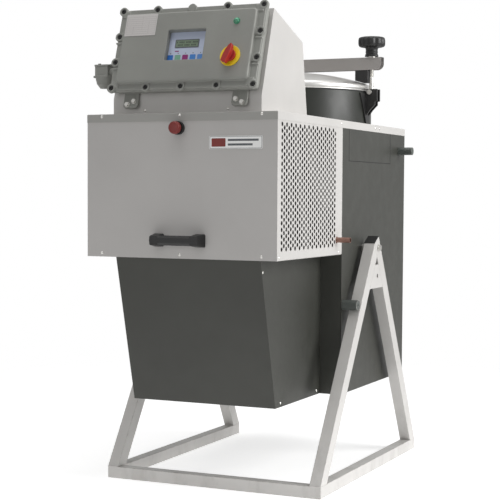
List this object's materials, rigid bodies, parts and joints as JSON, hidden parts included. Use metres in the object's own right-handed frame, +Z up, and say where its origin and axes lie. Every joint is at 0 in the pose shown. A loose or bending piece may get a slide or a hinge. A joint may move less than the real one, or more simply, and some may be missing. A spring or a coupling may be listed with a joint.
{
  "type": "tilting solvent recycler",
  "caption": "Batch distillation unit on a tilting stand: clamped boiler lid, perforated condenser box, leaning flameproof control enclosure.",
  "frame": {"origin": "on the floor under the middle of the bounding box", "axes": "+Z up; -Y out of the front panel with the controls; +X to the right seen from the front, the side of the outlet pipe and the clamp knob"},
  "size_m": [0.808, 1.2776, 1.582],
  "materials": {
    "stand_paint": "light grey semi-gloss powder coat",
    "black_plastic": "matt black moulded plastic",
    "bronze": "plain bronze bearing metal",
    "dark_paint": "dark grey textured powder coat",
    "light_paint": "light grey powder coat",
    "cast_grey": "mid grey paint on cast aluminium",
    "black_steel": "black oxide and black paint",
    "zinc_steel": "bright zinc plate",
    "label_white": "plain pale plate, no marking",
    "panel_blue": "membrane keypad with a display",
    "lamp_green": "green lens",
    "switch_yellow": "yellow plastic",
    "switch_red": "red plastic",
    "controller_grey": "dark grey housing",
    "stainless": "brushed stainless steel",
    "oil_steel": "plain grey primer on steel",
    "mineral_wool": "mineral wool blanket",
    "heater_steel": "heat-stained steel tube",
    "seal_rubber": "moulded black seal",
    "bar_paint": "light grey painted channel",
    "aluminium_fins": "bare aluminium fins",
    "fan_black": "black moulded blades",
    "copper": "bare copper tube, dulled",
    "stop_steel": "plain turned steel bar"
  },
  "bodies": {
    "stand": {"base_front_rail": "stand_paint", "base_side_rail_left": "stand_paint", "base_side_rail_right": "stand_paint", "front_leg_left": "stand_paint", "front_leg_right": "stand_paint", "rear_leg_left": "stand_paint", "rear_leg_right": "stand_paint", "gusset_plates": "stand_paint", "apex_plugs": "black_plastic", "trunnion_bushes": "bronze"},
    "clamp_bar": {"clamp_bar": "bar_paint", "pressure_feet": "black_steel", "lid": "stainless", "lid_gasket": "seal_rubber", "swing_bolt": "zinc_steel", "knob_washer": "zinc_steel"},
    "knob": {"knob": "black_plastic"},
    "main_switch": {"switch_handle": "switch_red"},
    "estop": {"estop_button": "switch_red"},
    "fan": {"fan_rotor": "fan_black"},
    "cabinet": {"estop_base": "black_plastic", "front_handle": "black_plastic", "body_shell": "dark_paint", "side_access_cover": "dark_paint", "base_panel": "dark_paint", "taper_housing": "dark_paint", "neck_collar": "dark_paint", "top_cover": "light_paint", "front_panel": "light_paint", "box_floor": "light_paint", "side_grille_left": "light_paint", "side_grille_right": "light_paint", "console_housing": "light_paint", "enclosure_cover": "cast_grey", "enclosure_body": "cast_grey", "conduit_fitting": "cast_grey", "conduit_fitting_cover": "cast_grey", "enclosure_cover_bolts": "black_steel", "bar_hinge_bracket": "black_steel", "clamp_bracket": "black_steel", "enclosure_mounting_bolts": "zinc_steel", "panel_screws": "zinc_steel", "bracket_pins": "zinc_steel", "trunnion_bolts": "zinc_steel", "trunnion_shafts": "zinc_steel", "blank_plates": "label_white", "keypad_panel": "panel_blue", "indicator_lamp": "lamp_green", "switch_plate": "switch_yellow", "controller_unit": "controller_grey", "fan_motor": "controller_grey", "boiler_vessel": "stainless", "vapour_duct": "stainless", "oil_jacket": "oil_steel", "fan_shroud": "oil_steel", "insulation": "mineral_wool", "heating_elements": "heater_steel", "condenser_coil": "aluminium_fins", "distillate_pipe": "copper", "tilt_stops": "stop_steel"}
  },
  "joints": [
    {"name": "cabinet_tilt", "type": "hinge", "parent": "stand", "child": "cabinet", "pos_m": [0, 0.17425, 0.792], "axis": [-1, 0, 0], "range_deg": [0, 98.5]},
    {"name": "lid_bar", "type": "hinge", "parent": "cabinet", "child": "clamp_bar", "pos_m": [-0.326, 0.30225, 1.45], "axis": [0, -1, 0], "range_deg": [0, 105]},
    {"name": "knob_turn", "type": "hinge", "parent": "clamp_bar", "child": "knob", "pos_m": [0.316, 0.30225, 1.53], "axis": [0, 0, 1], "continuous": true},
    {"name": "estop_push", "type": "slide", "parent": "cabinet", "child": "estop", "axis": [0, 1, 0], "range_m": [0, 0.005], "stiffness_N_per_m": 1500, "springref_m": -0.003},
    {"name": "main_switch_turn", "type": "hinge", "parent": "cabinet", "child": "main_switch", "pos_m": [0.165, -0.5825, 1.40766], "axis": [0, -0.9505, 0.3107], "range_deg": [0, 90]},
    {"name": "fan_spin", "type": "hinge", "parent": "cabinet", "child": "fan", "pos_m": [0.2, -0.31775, 0.995], "axis": [1, 0, 0], "continuous": true}
  ]
}
